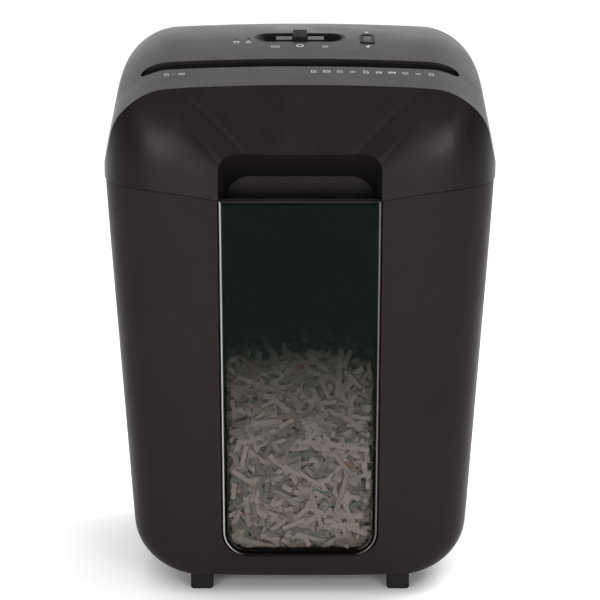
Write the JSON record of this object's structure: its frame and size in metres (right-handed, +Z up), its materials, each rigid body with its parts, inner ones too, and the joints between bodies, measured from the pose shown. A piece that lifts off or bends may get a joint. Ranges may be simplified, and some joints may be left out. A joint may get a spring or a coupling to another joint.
{
  "type": "paper shredder",
  "caption": "Dark grey upright cross-cut paper shredder with a lift-off cutting head, top feed slot, sliding mode control and a smoked front window full of shreds",
  "frame": {"origin": "on the floor, under the middle of the bounding box", "axes": "+X to the right as seen from the front, -Y is the front with the window, +Z up"},
  "size_m": [0.2944, 0.2267, 0.421],
  "materials": {
    "shell_grey": "satin moulded dark warm grey",
    "bin_grey": "fine-textured moulded dark warm grey",
    "smoked_window": "smoked translucent plastic, polished, darker towards the top",
    "paper": "cross-cut office paper, printed in places",
    "black_plastic": "satin black moulding",
    "dark_insert": "glossy black trim",
    "lens": "smoked light guide, unlit",
    "rubber_foot": "soft moulded foot",
    "cutter_steel": "ground hardened steel, oiled",
    "zinc_sheet": "zinc-plated pressed sheet",
    "nylon_white": "off-white nylon",
    "nylon_grey": "grey nylon",
    "motor_steel": "painted drawn steel",
    "armature_copper": "enamelled copper windings on a steel core",
    "board_green": "solder-resist green circuit board",
    "board_part": "moulded electronic parts",
    "bronze": "sintered bronze",
    "spring_steel": "bright spring wire",
    "screw_steel": "zinc-plated screws"
  },
  "bodies": {
    "bin": {"bin_shell": "bin_grey", "window_insert": "smoked_window", "paper_shreds": "paper", "foot_front_left": "rubber_foot", "foot_rear_left": "rubber_foot", "foot_front_right": "rubber_foot", "foot_rear_right": "rubber_foot"},
    "head": {"head_cover": "shell_grey", "head_tray": "black_plastic", "slot_guide": "black_plastic", "slider_bed": "dark_insert", "lock_bezel": "dark_insert", "lens_left": "lens", "lens_right": "lens", "mode_switch": "board_part", "cutter_plate_left": "zinc_sheet", "cutter_plate_right": "zinc_sheet", "tie_rods": "cutter_steel", "cutter_bushes": "bronze", "stripper_comb_front": "nylon_grey", "stripper_comb_rear": "nylon_grey", "gear_axles": "screw_steel", "gearbox_plate": "zinc_sheet", "gearbox_posts": "screw_steel", "motor_can": "motor_steel", "motor_front_cap": "motor_steel", "motor_rear_cap": "motor_steel", "motor_cradle": "black_plastic", "control_board": "board_green", "board_parts": "board_part", "isolators": "rubber_foot", "sensor_pin": "screw_steel", "interlock_spring": "spring_steel", "interlock_switch": "board_part", "cord_gland": "rubber_foot", "gland_nut": "nylon_grey", "cover_screws": "screw_steel", "plate_screws": "screw_steel"},
    "control_slider": {"control_slider": "shell_grey", "slider_thumb": "black_plastic"},
    "lock": {"lock_button": "shell_grey", "lock_plate": "nylon_white"},
    "front_cutter": {"front_cutter_shaft": "cutter_steel", "front_cutter_discs": "cutter_steel", "front_timing_gear": "nylon_white"},
    "rear_cutter": {"rear_cutter_shaft": "cutter_steel", "rear_cutter_discs": "cutter_steel", "rear_timing_gear": "nylon_white", "drive_gear": "nylon_white"},
    "second_gear": {"second_gear": "nylon_white"},
    "first_gear": {"first_gear": "nylon_white"},
    "rotor": {"motor_shaft": "cutter_steel", "motor_armature": "armature_copper", "motor_fan": "nylon_grey", "motor_pinion": "bronze"},
    "sensor_lever": {"sensor_lever": "nylon_white"},
    "interlock_plunger": {"interlock_plunger": "nylon_white"}
  },
  "joints": [
    {"name": "head_lift", "type": "slide", "parent": "bin", "child": "head", "axis": [0, 0, 1], "range_m": [0, 0.15]},
    {"name": "slider_shift", "type": "slide", "parent": "head", "child": "control_slider", "axis": [1, 0, 0], "range_m": [-0.009, 0.009]},
    {"name": "lock_push", "type": "slide", "parent": "head", "child": "lock", "axis": [0, 0.9863, 0.165], "range_m": [0, 0.003]},
    {"name": "rear_cutter_turn", "type": "hinge", "parent": "head", "child": "rear_cutter", "pos_m": [0, -0.0395, 0.357], "axis": [1, 0, 0], "continuous": true},
    {"name": "front_cutter_turn", "type": "hinge", "parent": "head", "child": "front_cutter", "pos_m": [0, -0.0695, 0.357], "axis": [1, 0, 0], "continuous": true},
    {"name": "second_gear_turn", "type": "hinge", "parent": "head", "child": "second_gear", "pos_m": [0.122, -0.00065, 0.3536], "axis": [1, 0, 0], "continuous": true},
    {"name": "first_gear_turn", "type": "hinge", "parent": "head", "child": "first_gear", "pos_m": [0.127, 0.02931, 0.35203], "axis": [1, 0, 0], "continuous": true},
    {"name": "rotor_turn", "type": "hinge", "parent": "head", "child": "rotor", "pos_m": [0.066, 0.05732, 0.35954], "axis": [1, 0, 0], "continuous": true},
    {"name": "lever_swing", "type": "hinge", "parent": "head", "child": "sensor_lever", "pos_m": [0.02, -0.041, 0.392], "axis": [1, 0, 0], "range_deg": [0, 25], "stiffness_Nm_per_rad": 0.002, "springref_deg": -5.73},
    {"name": "plunger_push", "type": "slide", "parent": "head", "child": "interlock_plunger", "axis": [0, 0, 1], "range_m": [0, 0.0015], "stiffness_N_per_m": 400, "springref_m": -0.002, "deforming": ["interlock_spring"]}
  ],
  "couplings": [
    {"joint": "front_cutter_turn", "follows": "rear_cutter_turn", "ratio": -1},
    {"joint": "second_gear_turn", "follows": "rear_cutter_turn", "ratio": -3.3333},
    {"joint": "first_gear_turn", "follows": "rear_cutter_turn", "ratio": 10},
    {"joint": "rotor_turn", "follows": "rear_cutter_turn", "ratio": -38.333}
  ]
}
